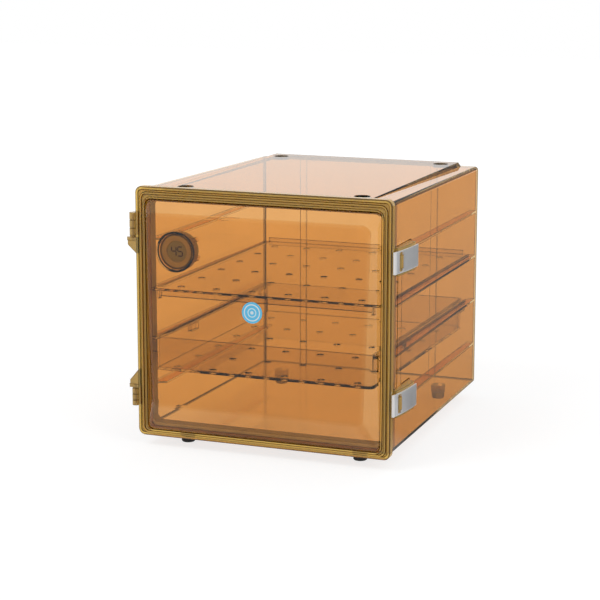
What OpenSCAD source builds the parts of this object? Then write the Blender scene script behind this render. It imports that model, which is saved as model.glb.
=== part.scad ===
// Bench-top desiccator cabinet: a drafted amber housing with a gasket in its mouth, a hinged door with a
// raised window, two draw latches, a perforated shelf, a perforated tray and a hygrometer in the window.
// X runs to the latch side, Y to the back, Z up. The origin lies on the ground, in the middle plane of the
// housing and half way along the overall depth.

/* [Housing] */
// Outside width of the housing at its mouth
housing_front_w = 307.4; // [300:0.2:320]
// How much narrower the housing is at its back
width_draft = 12.4; // [6:0.2:16]
// Outside height of the housing at its mouth
housing_front_h = 285.7; // [280:0.1:292]
// How much lower the housing's top is at its back
height_draft = 4.5; // [2:0.1:8]
// Length of the housing from mouth to back
housing_len = 361.3; // [340:0.1:400]
// Thickness of the moulded housing wall
housing_wall = 3.5; // [2.5:0.1:4]
// Radius of the long edges of the housing
edge_round = 5; // [4.5:0.1:8]
// Height of the flat underside above the ground
underside_z = 17; // [14:0.5:22]

/* [Top plateau] */
// Distance from the plateau's side edge out to the housing's side at the mouth
plateau_side_inset = 29.9; // [26:0.1:34]
// Distance from the plateau's back edge to the housing's back
plateau_back_inset = 13.6; // [11:0.1:30]
// Rise of the plateau over the housing's top edge at the mouth
plateau_rise = 0.8; // [0.4:0.1:3]
// Lean of the plateau's side and back faces, per millimetre of height
plateau_lean = 0.5; // [0.2:0.1:1]

/* [Stacking feet] */
// Distance from the housing's side at the mouth to the axis of a foot
foot_side_inset = 46.2; // [42:0.1:54]
// Distance from the mouth to the axis of the front feet
foot_front_inset = 26.6; // [22:0.1:34]
// Distance from the housing's back to the axis of the back feet
foot_back_inset = 36.2; // [30:0.1:60]
// Diameter of a rubber foot
foot_d = 16; // [12:0.5:17]
// Height of a rubber foot below its boss
foot_h = 8; // [5:0.5:10]
// Bevel round the foot's lower edge
foot_bevel = 1; // [0.5:0.1:2]
// Diameter of the foot's stem
foot_stem_d = 6; // [4:0.5:8]
// Length of the foot's stem
foot_stem_len = 5; // [3:0.5:7]
// Diameter of a foot boss and of a stacking recess
boss_d = 18; // [17.5:0.5:20]
// Depth of a stacking recess
recess_depth = 2.5; // [1.5:0.1:3]

/* [Runners and ribs] */
// Number of runner levels on each side wall
runner_levels = 4; // [3:1:4]
// Height of the lowest runner's top face above the housing's floor
runner_first_h = 49.5; // [42:0.5:54]
// Distance from one runner level to the next
runner_pitch = 57.2; // [50:0.2:58]
// Thickness of a runner
runner_t = 2.5; // [2:0.1:4]
// Reach of a runner in from the side wall at the back
runner_reach = 9; // [7:0.5:11]
// Length of the slanted lead-in at the front of a runner
runner_lead = 10; // [4:0.5:15]
// Width of an upright rib on the back wall
back_rib_w = 8.5; // [5:0.5:14]
// Depth of an upright rib on the back wall
back_rib_t = 2; // [1:0.1:3]
// Distance between the middles of the two upright ribs
back_rib_span = 178; // [120:1:220]

/* [Mouth gasket] */
// Depth of the gasket along the cabinet
gasket_depth = 16.2; // [12:0.1:20]
// Reach of the gasket in from the side wall
gasket_side = 8.7; // [7:0.1:9.7]
// Reach of the gasket up from the floor
gasket_low = 6.5; // [5:0.1:9]
// Reach of the gasket down from the top wall
gasket_top = 10.2; // [8:0.1:13]
// Radius of the gasket's inside corners
gasket_round = 8; // [4:0.5:12]
// Radius of the gasket's outside corners
gasket_outer_round = 2; // [0.5:0.1:4]
// Width of the sealing bead on the gasket's front
gasket_bead_w = 3; // [2:0.1:4]
// Depth of the groove between the beads
gasket_groove = 1.2; // [0.5:0.1:2]
// Length of the ledge behind the gasket
ledge_t = 2; // [1.5:0.1:3]
// Reach of the ledge in from the wall
ledge_reach = 4; // [3:0.1:6]

/* [Door frame] */
// Reach of the door past the housing at each side
door_over_side = 1.3; // [0.8:0.1:1.8]
// Reach of the door over the housing's top edge at the mouth
door_over_top = 3.7; // [2:0.1:6]
// Reach of the door below the housing's underside
door_over_low = 4.2; // [2:0.1:6]
// Thickness of the door frame
door_t = 10; // [8:0.2:14]
// Radius of the door's corners
door_round = 8; // [6:0.5:10]
// Width of the door frame beside the window
frame_side = 12.3; // [11:0.1:14]
// Width of the door frame above the window
frame_top = 14.3; // [13:0.1:17]
// Width of the door frame below the window
frame_low = 7.9; // [7.5:0.1:10]
// Number of nested round ridges on the frame's face
ridge_count = 3; // [1:1:3]
// Radius of the outer ridge
ridge_r = 1.9; // [1:0.1:2.2]
// How much slimmer each next ridge is
ridge_step = 0.3; // [0.1:0.1:0.5]
// Distance from the door's edge to the middle of the outer ridge
ridge_inset = 2.4; // [2.2:0.1:3]
// Depth of the hollow in the back of the frame
channel_depth = 5.5; // [3:0.1:6]
// Width of the hollow in the back of the frame
channel_w = 3.4; // [2:0.1:4]
// Distance from the door's edge to the hollow in its back
channel_inset = 3.5; // [3:0.1:4]

/* [Window] */
// Wall of the raised window
window_wall = 3; // [2:0.1:4]
// Width of the side slope beside the panel's top edge
slope_side_top = 10.7; // [9:0.1:16]
// Width of the side slope beside the panel's bottom edge
slope_side_low = 17.2; // [12:0.1:22]
// Height of the slope above the window's flat panel
slope_top = 16.1; // [12:0.1:24]
// Height of the slope below the window's flat panel
slope_low = 35.3; // [28:0.1:48]
// Reach of the panel in front of the frame at its top edge
bulge_top = 14; // [8:0.1:16]
// Reach of the panel in front of the frame at its bottom edge
bulge_low = 17; // [16:0.1:22]
// Radius of the panel's corners
panel_round = 10; // [6:0.5:14]
// Softening of the panel's edge
panel_soft = 2; // [1:0.1:4]
// Radius of the window's corners on the frame
window_round = 7; // [5:0.5:9]

/* [Hinges] */
// Distance from the door's left edge out to the hinge axis
hinge_out = 5.5; // [5:0.1:7]
// Distance from the frame's back face forward to the hinge axis
hinge_forward = 4; // [3.5:0.1:6]
// Radius of the hinge barrel
barrel_r = 4; // [3.5:0.1:4.6]
// Diameter of the hinge pin
hinge_pin_d = 3; // [2.5:0.1:4]
// Height of the upper hinge block
upper_block_h = 27; // [20:0.5:32]
// Height of the lower hinge block
lower_block_h = 20; // [16:0.5:32]
// Thickness of the wall at the closed end of a hinge block's bore
block_end_t = 2; // [1:0.1:4]
// Length of the hinge block along the housing's side
hinge_block_len = 22; // [18:0.5:28]
// Thickness of the hinge block at its back end
hinge_block_tip = 2; // [1:0.1:3]
// Height of a groove between the knuckles of the hinge block
knuckle_groove_h = 1; // [0.5:0.1:2]
// Depth of a groove between the knuckles of the hinge block
knuckle_groove_t = 0.6; // [0.3:0.1:0.8]
// Thickness of the hinge arm's lip
lip_t = 3.8; // [3:0.1:5]
// Reach of the lip past the hinge axis
lip_reach = 7.4; // [6:0.1:7.6]
// Height of the wedge that carries the upper lip
upper_wedge_h = 15; // [8:0.1:20]
// Height of the wedge that carries the lower lip
lower_wedge_h = 18; // [8:0.1:20]
// Distance from the lip's edges in to the wedge
wedge_inset = 0.8; // [0.4:0.1:1.5]
// Distance from the lip's outer end to the wedge
wedge_end_inset = 2; // [1:0.1:4]
// Height of the wedge at its outer end
wedge_tip_h = 5; // [1:0.1:6]
// Distance from the housing's top at the mouth down to the upper lip's top face
upper_lip_drop = 56.6; // [48:0.1:76]
// Distance from the housing's underside up to the lower lip's under face
lower_lip_rise = 51.5; // [42:0.1:72]
// Height of the collar between lip and block
collar_h = 1.4; // [1:0.1:2]

/* [Latches] */
// Height of a latch lever
lever_h = 25; // [18:0.5:30]
// Distance from the housing's top at the mouth down to the upper latch's middle
upper_latch_drop = 66.7; // [48:0.1:90]
// Distance from the housing's underside up to the lower latch's middle
lower_latch_rise = 58; // [44:0.5:80]
// Sheet thickness of the lever
lever_t = 1.5; // [1.2:0.1:2]
// Reach of the lever's back end past its pin
lever_tail = 2.8; // [2.4:0.1:3]
// Distance from the mouth back to the latch pin
latch_pin_back = 55; // [50:0.5:70]
// Distance from the latch seat out to the latch pin
latch_pin_out = 5; // [4.6:0.1:6]
// Inward lean of the lever's front end
lever_toe_in = 0.8; // [0.4:0.1:1]
// Outward bow of the lever from its front to its back end
lever_bow = 5; // [3:0.1:6]
// Diameter of the latch pin
latch_pin_d = 2.6; // [2:0.1:3]
// Radius of the rolled eye of the lever
eye_r = 2.9; // [2.6:0.1:3]
// Height of the rolled eye
eye_h = 12; // [8:0.5:16]
// Reach of the latch base past the lever, above and below
base_over = 3; // [1:0.5:5]
// Distance from the mouth back to the front of the latch base
base_setback = 3.2; // [2.6:0.1:4]
// Width of the slot near the lever's front
slot_w = 9; // [6:0.1:10]
// Height of the slot near the lever's front
slot_h = 22; // [16:0.5:22.5]
// Distance from the mouth back to the slot's middle
slot_back = 8.8; // [8:0.1:14]
// Radius of the slot's corners
slot_round = 2; // [1:0.1:3]
// Height of the rib on the base that stands in the lever's slot
slot_rib_h = 15; // [8:0.5:16]
// Reach of the rib out of the slot
slot_rib_out = 0.4; // [0.1:0.1:1]
// Thickness of the keeper along the cabinet
keeper_t = 3; // [2:0.1:3.4]
// Height of the keeper
keeper_h = 21; // [14:0.5:24]
// Width of the strip on the housing between the latches
latch_strip_w = 14; // [8:0.5:18]

/* [Shelf] */
// Distance from the shelf's side edge to the side wall at the back
shelf_side_gap = 4.5; // [3.6:0.1:6]
// Distance from the shelf's back edge to the back wall
shelf_back_gap = 13.1; // [4:0.1:30]
// Reach of the shelf in front of the housing's mouth
shelf_front_reach = 1.3; // [0:0.1:3]
// Thickness of the shelf plate
shelf_t = 3; // [2:0.1:4]
// Height of the shelf's turned-down front lip
shelf_lip_h = 9; // [6:0.5:12]
// Distance from the end of the shelf's lip to the runner beside it
shelf_lip_gap = 3; // [1:0.5:10]
// Height of the shelf's back upstand
shelf_upstand = 5; // [3:0.5:8]

/* [Tray] */
// Distance from the tray's rim to the side wall at the back
tray_rim_gap = 5.3; // [4:0.1:6]
// Distance from the tray's side to the runner beside it
tray_body_gap = 2; // [1:0.1:3]
// Distance from the tray's back to the back wall
tray_back_gap = 18.6; // [4:0.1:30]
// Reach of the tray in front of the housing's mouth
tray_front_reach = 6.8; // [0:0.1:9]
// Depth of the tray below its rim's under face
tray_drop = 35; // [20:0.5:45]
// Wall of the tray
tray_wall = 2.5; // [2:0.1:3]
// Height of the tray's front fascia
fascia_h = 18; // [12:0.5:24]
// Height of the tray's edge above its rim
tray_edge_h = 1.5; // [1:0.1:3]
// Radius of the rim's corners
rim_round = 3; // [2:0.5:5]
// Distance from the tray's front to the first hook on its side
hook_front_inset = 101; // [60:1:160]
// Distance from the tray's back to the second hook on its side
hook_back_inset = 4; // [4:1:80]
// Length of a hook on the tray's side
hook_len = 20; // [12:1:30]
// Height of a hook on the tray's side
hook_h = 8; // [4:0.5:12]
// Reach of a hook below the runner
hook_out = 5; // [3:0.5:6.5]
// Radius of the tray's upright corners
tray_round = 6; // [3:0.5:8]

/* [Drain holes] */
// Number of holes along each direction
hole_count = 6; // [3:1:6]
// Distance between holes across the cabinet
hole_pitch_x = 44.4; // [30:0.2:48]
// Distance between holes along the cabinet
hole_pitch_y = 58.2; // [40:0.2:62]
// Diameter of a hole
hole_d = 8; // [4:0.5:14]
// Distance from the shelf's front edge to the first row of holes
shelf_hole_setback = 20; // [10:0.5:40]
// Distance from the tray's front to the first row of holes
tray_hole_setback = 14; // [10:0.5:30]

/* [Hygrometer] */
// Diameter of the hygrometer
gauge_d = 41.4; // [38:0.1:48]
// Length of the hygrometer's case behind its bezel
gauge_case_len = 13; // [9:0.5:14]
// Thickness of the bezel
bezel_t = 4; // [2.5:0.1:5]
// Width of the bezel's raised rim
bezel_rim_w = 2.4; // [1.5:0.1:4]
// Depth of the bezel's dished face
bezel_dish = 0.5; // [0.2:0.1:1]
// Bevel on the bezel's edges
bezel_bevel = 0.6; // [0.3:0.1:1]
// Bevel round the back of the case
case_bevel = 1.5; // [0.5:0.1:3]
// Diameter of the display
display_d = 24.5; // [18:0.5:30]
// Depth of the display behind the bezel's face
display_inset = 1.6; // [0.8:0.1:2.4]
// Diameter of the battery cover
battery_cover_d = 23; // [18:0.5:28]
// Thickness of the battery cover
battery_cover_t = 2; // [1:0.1:3]
// Width of the coin slot in the battery cover
coin_slot_w = 1.6; // [1:0.1:3]
// Length of the coin slot in the battery cover
coin_slot_len = 12; // [8:0.5:16]
// Distance from the window's left edge to the hygrometer's axis
gauge_side_inset = 43.2; // [39.7:0.1:60]
// Distance from the window's top edge down to the hygrometer's axis
gauge_top_inset = 57; // [52:0.1:78]
// Reach of the bezel's face in front of the door frame
gauge_reach = 8; // [6:0.1:8.5]
// Wall of the holder ring
holder_wall = 2.4; // [2:0.1:4]
// Length of the holder ring
holder_len = 7.6; // [5:0.1:10]
// Reach of a clip behind the case
clip_hold = 1.8; // [1:0.1:2.5]
// Direction of the first clip
clip_start = 25; // [0:5:90]
// Width of a clip on the holder
clip_w = 5; // [3:0.5:8]
// Number of clips on the holder
clip_count = 6; // [2:1:6]
// Reach of the holder's lips over the hygrometer's edge
lip_hold = 2; // [1:0.1:3]

/* [Label] */
// Diameter of the round label
label_d = 24.4; // [16:0.2:30]
// Thickness of the round label
label_t = 0.5; // [0.3:0.1:1]
// Distance of the label left of the middle
label_left = 3.8; // [0:0.1:40]
// Height of the label above the middle of the window's panel
label_rise = 6.9; // [-30:0.1:50]

/* [Clearances] */
// Gap between the door and the housing's mouth
seal_gap = 0.3; // [0.2:0.1:1]
// Radial clearance of a pin in a moving eye
running_gap = 0.05; // [0.02:0.01:0.1]
// Gap between moving faces
face_gap = 0.4; // [0.3:0.1:0.6]
// Gap between parts that are fitted and stay put
seat_gap = 0.1; // [0.05:0.05:0.2]

/* [Hidden] */
$fn = 64;
hull_fn = 32;      // facets round the corners of a hulled shell
bead_fn = 24;      // facets round a ridge of the door frame
sliver = 0.2;      // thickness of the plates that a hull joins
least_round = 0.5; // smallest corner radius inside a ring
recess_skirt = 1;  // wall round a stacking recess, on the inside
pad_rim = 1;       // rim of a flat seat on the housing's side round the piece on it
cut = 1;           // reach of a cutting tool past the face it opens

// Runner levels that carry the shelf and the tray, counted from the bottom
shelf_level = 3;
tray_level = 2;

// Housing
housing_back_w = housing_front_w - width_draft;
housing_back_h = housing_front_h - height_draft;
side_draft = width_draft / 2 / housing_len;
top_draft = height_draft / housing_len;
housing_front_top = underside_z + housing_front_h;
floor_z = underside_z + housing_wall;
plateau_w = housing_front_w - 2 * plateau_side_inset;
plateau_len = housing_len - plateau_back_inset;
plateau_z = housing_front_top + plateau_rise;
foot_span_x = housing_front_w - 2 * foot_side_inset;
foot_span_y = housing_len - foot_front_inset - foot_back_inset;
back_inner_w = housing_back_w - 2 * housing_wall;
runner_gap_w = back_inner_w - 2 * runner_reach;
runner_first_z = floor_z + runner_first_h;

// Stations along the depth
overall_len = bulge_low + door_t + seal_gap + housing_len;
door_front_y = bulge_low - overall_len / 2;
door_back_y = door_front_y + door_t;
mouth_y = door_back_y + seal_gap;
back_y = mouth_y + housing_len;
back_wall_y = back_y - housing_wall;

// Door
door_w = housing_front_w + 2 * door_over_side;
door_h = housing_front_h + door_over_top + door_over_low;
door_low_z = underside_z - door_over_low;
door_mid_z = door_low_z + door_h / 2;
ridge_base_y = door_front_y + ridge_r;
window_w = door_w - 2 * frame_side;
window_h = door_h - frame_top - frame_low;
window_mid_z = door_low_z + frame_low + window_h / 2;
window_top_z = window_mid_z + window_h / 2;
pocket_inset = 2.4;     // the pocket behind the window starts this far inside the raised outline
panel_soft_back = panel_soft * 0.6;  // how far the panel's softened edge lies behind its face
panel_soft_out = panel_soft * 1.6;   // and how far outside its outline

// Flat panel of the window
panel_top_w = window_w - 2 * slope_side_top;
panel_low_w = window_w - 2 * slope_side_low;
panel_top_z = window_top_z - slope_top;
panel_low_z = window_mid_z - window_h / 2 + slope_low;
panel_mid_z = (panel_top_z + panel_low_z) / 2;
panel_tilt = atan((bulge_low - bulge_top) / (panel_top_z - panel_low_z));
panel_front_y = door_front_y - (bulge_top + bulge_low) / 2;

// Hinges
upper_lip_z = housing_front_top - upper_lip_drop;
lower_lip_z = underside_z + lower_lip_rise;
hinge_x = -door_w / 2 - hinge_out;
hinge_y = door_back_y - hinge_forward;
hinge_pad_x = -housing_front_w / 2 - seat_gap * 2;

// Latches
upper_latch_z = housing_front_top - upper_latch_drop;
lower_latch_z = underside_z + lower_latch_rise;
base_h = lever_h + 2 * base_over;
latch_seat_x = housing_front_w / 2 + seat_gap * 2;
latch_x = latch_seat_x + latch_pin_out;
latch_y = mouth_y + latch_pin_back;
lever_inner_x = latch_x + eye_r + face_gap;
lever_front_y = door_back_y - keeper_t - face_gap - 2 * lever_t;
slot_rel_y = slot_back - latch_pin_back;
lever_run = latch_y + lever_tail - (mouth_y + face_gap);
lever_bow_r = (lever_run * lever_run + lever_bow * lever_bow) / (2 * lever_bow);

// Shelf and tray
shelf_w = back_inner_w - 2 * shelf_side_gap;
shelf_lip_w = runner_gap_w - 2 * shelf_lip_gap;
shelf_front_y = mouth_y - shelf_front_reach;
shelf_len = back_wall_y - shelf_back_gap - shelf_front_y;
shelf_seat_z = runner_first_z + (shelf_level - 1) * runner_pitch;
tray_w = back_inner_w - 2 * tray_rim_gap;
tray_body_w = runner_gap_w - 2 * tray_body_gap;
tray_front_y = mouth_y - tray_front_reach;
tray_len = back_wall_y - tray_back_gap - tray_front_y;
tray_seat_z = runner_first_z + (tray_level - 1) * runner_pitch;

// Hygrometer and label
gauge_x = gauge_side_inset - window_w / 2;
gauge_z = window_top_z - gauge_top_inset;
label_z = panel_mid_z + label_rise;

// A value part of the way from one to another
function mix(from, to, share) = from + (to - from) * share;

// ---------- Shapes that repeat ----------

// Rounded rectangle, centred
module rounded_rect(w, h, round) {
    square([w - 2 * round, h], center = true);
    square([w, h - 2 * round], center = true);
    for (sx = [-1, 1], sy = [-1, 1])
        translate([sx * (w / 2 - round), sy * (h / 2 - round)])
            circle(r = round);
}

// Upright rounded plate that starts at y = 0 and runs back, centred on x and z
module plate(w, h, round, depth) {
    rotate([90, 0, 0])
        translate([0, 0, -depth])
            linear_extrude(depth)
                rounded_rect(w, h, round);
}

// Upright rounded frame
module ring_plate(w, h, round, band, depth) {
    difference() {
        plate(w, h, round, depth);
        translate([0, -cut, 0])
            plate(w - 2 * band, h - 2 * band, max(round - band, least_round), depth + 2 * cut);
    }
}

// Four rods in the corners of a rounded rectangle or trapezoid, for a hull
module corner_rods(low_w, top_w, h, round, depth) {
    for (side = [-1, 1], level = [0, 1])
        translate([side * ((level ? top_w : low_w) / 2 - round), 0, (level - 0.5) * (h - 2 * round)])
            rotate([-90, 0, 0])
                cylinder(r = round, h = depth, $fn = hull_fn);
}

// A level bar across the cabinet with the given outline in plan
module plan_bar(points, low_z, t) {
    translate([0, 0, low_z])
        linear_extrude(t)
            polygon(points);
}

// Left and right copies
module both_sides() {
    for (side = [0, 1])
        mirror([side, 0, 0])
            children();
}

// Places of the four feet
module at_feet(z) {
    for (x = [-1, 1], y = [0, 1])
        translate([x * foot_span_x / 2, mouth_y + foot_front_inset + y * foot_span_y, z])
            children();
}

// ---------- Housing ----------

// The drafted body with rounded back corners, shrunk by the given skin
module housing_form(skin, front_reach) {
    round = edge_round - skin;
    front_h = housing_front_h - 2 * skin;
    back_h = housing_back_h - 2 * skin;
    hull() {
        translate([0, mouth_y - front_reach, underside_z + skin + front_h / 2])
            corner_rods(housing_front_w - 2 * skin, housing_front_w - 2 * skin, front_h, round, sliver);
        for (side = [-1, 1], level = [0, 1])
            translate([
                side * (housing_back_w / 2 - edge_round),
                back_y - edge_round,
                underside_z + edge_round + level * (back_h + 2 * skin - 2 * edge_round)
            ])
                sphere(r = round, $fn = hull_fn);
    }
}

// The level plateau, with leaning side and back faces
module plateau_form(skin, front_reach) {
    top_z = plateau_z - skin;
    low_z = housing_front_top - 4 * edge_round;
    spread = (top_z - low_z) * plateau_lean;
    half_w = plateau_w / 2 - skin;
    end_y = mouth_y + plateau_len - skin;
    intersection() {
        translate([0, back_y, 0])
            rotate([90, 0, 0])
                linear_extrude(housing_len + front_reach)
                    polygon([
                        [-half_w - spread, low_z],
                        [half_w + spread, low_z],
                        [half_w, top_z],
                        [-half_w, top_z]
                    ]);
        rotate([90, 0, 90])
            translate([0, 0, -housing_front_w / 2])
                linear_extrude(housing_front_w)
                    polygon([
                        [mouth_y - front_reach, low_z],
                        [end_y + spread, low_z],
                        [end_y, top_z],
                        [mouth_y - front_reach, top_z]
                    ]);
    }
}

// One pair of runners, each with a slanted lead-in
module runner_pair(top_z) {
    start_y = mouth_y + gasket_depth + ledge_t;
    half_gap = runner_gap_w / 2;
    both_sides()
        plan_bar([
            [half_gap, start_y + runner_lead],
            [half_gap, back_y],
            [housing_front_w / 2, back_y],
            [housing_front_w / 2, start_y]
        ], top_z - runner_t, runner_t);
}

module housing_inner_ribs() {
    for (level = [0 : runner_levels - 1])
        runner_pair(runner_first_z + level * runner_pitch);
    for (side = [-1, 1])
        translate([
            side * back_rib_span / 2 - back_rib_w / 2,
            back_y - housing_wall - back_rib_t,
            underside_z
        ])
            cube([back_rib_w, back_rib_t + housing_wall, housing_front_h]);
    translate([0, mouth_y + gasket_depth, underside_z + housing_front_h / 2])
        ring_plate(
            housing_front_w, housing_front_h, edge_round, housing_wall + ledge_reach, ledge_t
        );
}

// Flat seats on the drafted side walls for the latches and the hinges
module side_pads() {
    pad_start = mouth_y + base_setback - pad_rim;
    pad_len = latch_pin_back + 2 * eye_r;
    for (z = [lower_latch_z, upper_latch_z])
        translate([latch_seat_x - housing_wall, pad_start, z - base_h / 2 - pad_rim])
            cube([housing_wall, pad_len, base_h + 2 * pad_rim]);
    translate([latch_seat_x - housing_wall, mouth_y + gasket_depth, lower_latch_z])
        cube([housing_wall - seat_gap, latch_strip_w, upper_latch_z - lower_latch_z]);
    for (block = [
        [upper_lip_z + collar_h + face_gap, upper_block_h],
        [lower_lip_z - collar_h - face_gap - lower_block_h, lower_block_h]
    ])
        translate([hinge_pad_x, mouth_y + face_gap, block[0] - pad_rim])
            cube([housing_wall, hinge_block_len + 2 * pad_rim, block[1] + 2 * pad_rim]);
}

module housing() {
    color([0.80, 0.52, 0.28, 0.6])
        difference() {
            union() {
                housing_form(0, 0);
                plateau_form(0, 0);
                side_pads();
                at_feet(foot_h)
                    cylinder(d = boss_d, h = floor_z - foot_h - seat_gap);
            }
            difference() {
                union() {
                    housing_form(housing_wall, cut);
                    plateau_form(housing_wall, cut);
                }
                housing_inner_ribs();
                // the wall stays whole below each stacking recess
                at_feet(plateau_z - recess_depth - housing_wall)
                    cylinder(r = boss_d / 2 + recess_skirt, h = recess_depth + housing_wall);
            }
            at_feet(plateau_z - recess_depth)
                cylinder(d = boss_d, h = recess_depth + cut);
            at_feet(foot_h - cut)
                cylinder(d = foot_stem_d + 2 * running_gap, h = foot_stem_len + seat_gap + cut);
        }
}

// ---------- Gasket ----------

module mouth_gasket() {
    outer_w = housing_front_w - 2 * (housing_wall + seat_gap + side_draft * gasket_depth);
    low_z = floor_z + seat_gap;
    top_z = housing_front_top - housing_wall - seat_gap - top_draft * gasket_depth;
    open_w = housing_front_w - 2 * (housing_wall + gasket_side);
    open_low_z = floor_z + gasket_low;
    open_top_z = housing_front_top - housing_wall - gasket_top;
    open_h = open_top_z - open_low_z;
    groove_reach = gasket_bead_w + gasket_groove;
    color([0.36, 0.32, 0.20])
        difference() {
            translate([0, mouth_y - seal_gap + seat_gap, (low_z + top_z) / 2])
                plate(outer_w, top_z - low_z, gasket_outer_round, gasket_depth + seal_gap - seat_gap);
            translate([0, mouth_y - cut, (open_low_z + open_top_z) / 2]) {
                plate(open_w, open_h, gasket_round, gasket_depth + 2 * cut);
                ring_plate(
                    open_w + 2 * groove_reach, open_h + 2 * groove_reach,
                    gasket_round + groove_reach, gasket_groove, gasket_groove + cut
                );
            }
        }
}

// ---------- Door ----------

// The raised window, shrunk by the given skin
module window_form(skin) {
    base_inset = skin > 0 ? pocket_inset : 0;
    panel_h = panel_top_z - panel_low_z;
    hull() {
        translate([0, ridge_base_y - (skin > 0 ? 0 : seat_gap), window_mid_z])
            corner_rods(
                window_w - 2 * base_inset, window_w - 2 * base_inset,
                window_h - 2 * base_inset, window_round - base_inset, sliver
            );
        translate([0, panel_front_y + skin, panel_mid_z])
            rotate([-panel_tilt, 0, 0])
                for (step = [[0, 0], [panel_soft_back, panel_soft_out]])
                    translate([0, step[0], 0])
                        corner_rods(
                            panel_low_w + 2 * step[1] - skin, panel_top_w + 2 * step[1] - skin,
                            panel_h + 2 * step[1] - skin, panel_round, sliver
                        );
    }
}

// Round bar that runs round a rounded rectangle, in the plane y = 0
module bead_loop(w, h, round, r) {
    for (side = [-1, 1]) {
        translate([side * w / 2, 0, round - h / 2])
            cylinder(r = r, h = h - 2 * round, $fn = bead_fn);
        translate([round - w / 2, 0, side * h / 2])
            rotate([0, 90, 0])
                cylinder(r = r, h = w - 2 * round, $fn = bead_fn);
    }
    for (side = [0, 1], level = [0, 1])
        mirror([side, 0, 0])
            mirror([0, 0, level])
                translate([w / 2 - round, 0, h / 2 - round])
                    rotate([90, 0, 0])
                        rotate_extrude(angle = 90)
                            translate([round, 0])
                                circle(r = r, $fn = bead_fn);
}

// Nested round ridges, spread evenly from the door's edge to the window
module frame_ridges() {
    last_r = ridge_r - (ridge_count - 1) * ridge_step;
    for (i = [0 : ridge_count - 1]) {
        share = i / max(ridge_count - 1, 1);
        translate([0, ridge_base_y, mix(door_mid_z, window_mid_z, share)])
            bead_loop(
                mix(door_w - 2 * ridge_inset, window_w + 2 * last_r, share),
                mix(door_h - 2 * ridge_inset, window_h + 2 * last_r, share),
                mix(door_round - ridge_inset, window_round + last_r, share),
                ridge_r - i * ridge_step
            );
    }
}

// Ring that stands on the inside of the window and carries the hygrometer's holder
module holder_seat() {
    behind_face = gauge_reach + bezel_t / 4;
    translate([gauge_x, door_front_y - behind_face, gauge_z])
        rotate([90, 0, 0])
            difference() {
                cylinder(r = gauge_d / 2 + holder_wall, h = bulge_top - behind_face - seat_gap);
                translate([0, 0, -cut])
                    cylinder(r = gauge_d / 2 + holder_wall / 4, h = bulge_low);
            }
}

module door() {
    color([0.82, 0.56, 0.30, 0.6])
        union() {
            difference() {
                union() {
                    translate([0, ridge_base_y, door_mid_z])
                        plate(door_w, door_h, door_round, door_t - ridge_r);
                    frame_ridges();
                    window_form(0);
                }
                window_form(window_wall);
                translate([0, ridge_base_y, window_mid_z])
                    plate(
                        window_w - 2 * pocket_inset, window_h - 2 * pocket_inset,
                        window_round - pocket_inset, door_t
                    );
                // hollow in the back of the frame
                translate([0, door_back_y - channel_depth, door_mid_z])
                    ring_plate(
                        door_w - 2 * channel_inset, door_h - 2 * channel_inset,
                        door_round - channel_inset, channel_w, channel_depth + cut
                    );
            }
            holder_seat();
        }
}

// ---------- Feet ----------

module foot(side, row) {
    translate([side * foot_span_x / 2, mouth_y + foot_front_inset + row * foot_span_y, 0])
        color([0.07, 0.07, 0.07])
            rotate_extrude()
                polygon([
                    [0, 0],
                    [foot_d / 2 - foot_bevel, 0],
                    [foot_d / 2, foot_bevel],
                    [foot_d / 2, foot_h],
                    [foot_stem_d / 2, foot_h],
                    [foot_stem_d / 2, foot_h + foot_stem_len],
                    [0, foot_h + foot_stem_len]
                ]);
}

module foot_front_left() foot(-1, 0);
module foot_front_right() foot(1, 0);
module foot_back_left() foot(-1, 1);
module foot_back_right() foot(1, 1);

// ---------- Hinges ----------

// Turns the upper hinge's pieces over for the lower hinge; the lip's outer face lies at z = 0
module hinge_place(upper) {
    translate([hinge_x, hinge_y, upper ? upper_lip_z : lower_lip_z])
        mirror([0, 0, upper ? 0 : 1])
            children();
}

// Block on the housing: three stacked knuckles and a web that runs back to the side wall
module hinge_block(upper) {
    low = collar_h + face_gap;
    block_h = upper ? upper_block_h : lower_block_h;
    knuckles = 3;
    knuckle_h = (block_h - (knuckles - 1) * knuckle_groove_h) / knuckles;
    web_r = barrel_r - knuckle_groove_t;
    pad_rel_x = hinge_pad_x - hinge_x;
    mouth_rel_y = mouth_y + face_gap - hinge_y;
    hinge_place(upper)
        color([0.80, 0.58, 0.22, 0.7])
            difference() {
                union() {
                    for (i = [0 : knuckles - 1])
                        translate([0, 0, low + i * (knuckle_h + knuckle_groove_h)])
                            cylinder(r = barrel_r, h = knuckle_h);
                    translate([0, 0, low])
                        cylinder(r = web_r, h = block_h);
                    plan_bar([
                        [-web_r, 0],
                        [web_r, 0],
                        [web_r, mouth_rel_y],
                        [pad_rel_x, mouth_rel_y],
                        [pad_rel_x, mouth_rel_y + hinge_block_len],
                        [pad_rel_x - hinge_block_tip, mouth_rel_y + hinge_block_len]
                    ], low, block_h);
                }
                translate([0, 0, low - cut])
                    cylinder(d = hinge_pin_d + 2 * seat_gap, h = block_h - block_end_t + cut);
            }
}

module hinge_block_upper() hinge_block(true);
module hinge_block_lower() hinge_block(false);

module hinge_pin(upper) {
    grip = (upper ? upper_block_h : lower_block_h) - block_end_t - seat_gap;
    hinge_place(upper)
        color([0.75, 0.75, 0.77])
            translate([0, 0, -lip_t])
                cylinder(d = hinge_pin_d, h = lip_t + collar_h + face_gap + grip);
}

module hinge_pin_upper() hinge_pin(true);
module hinge_pin_lower() hinge_pin(false);

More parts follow.
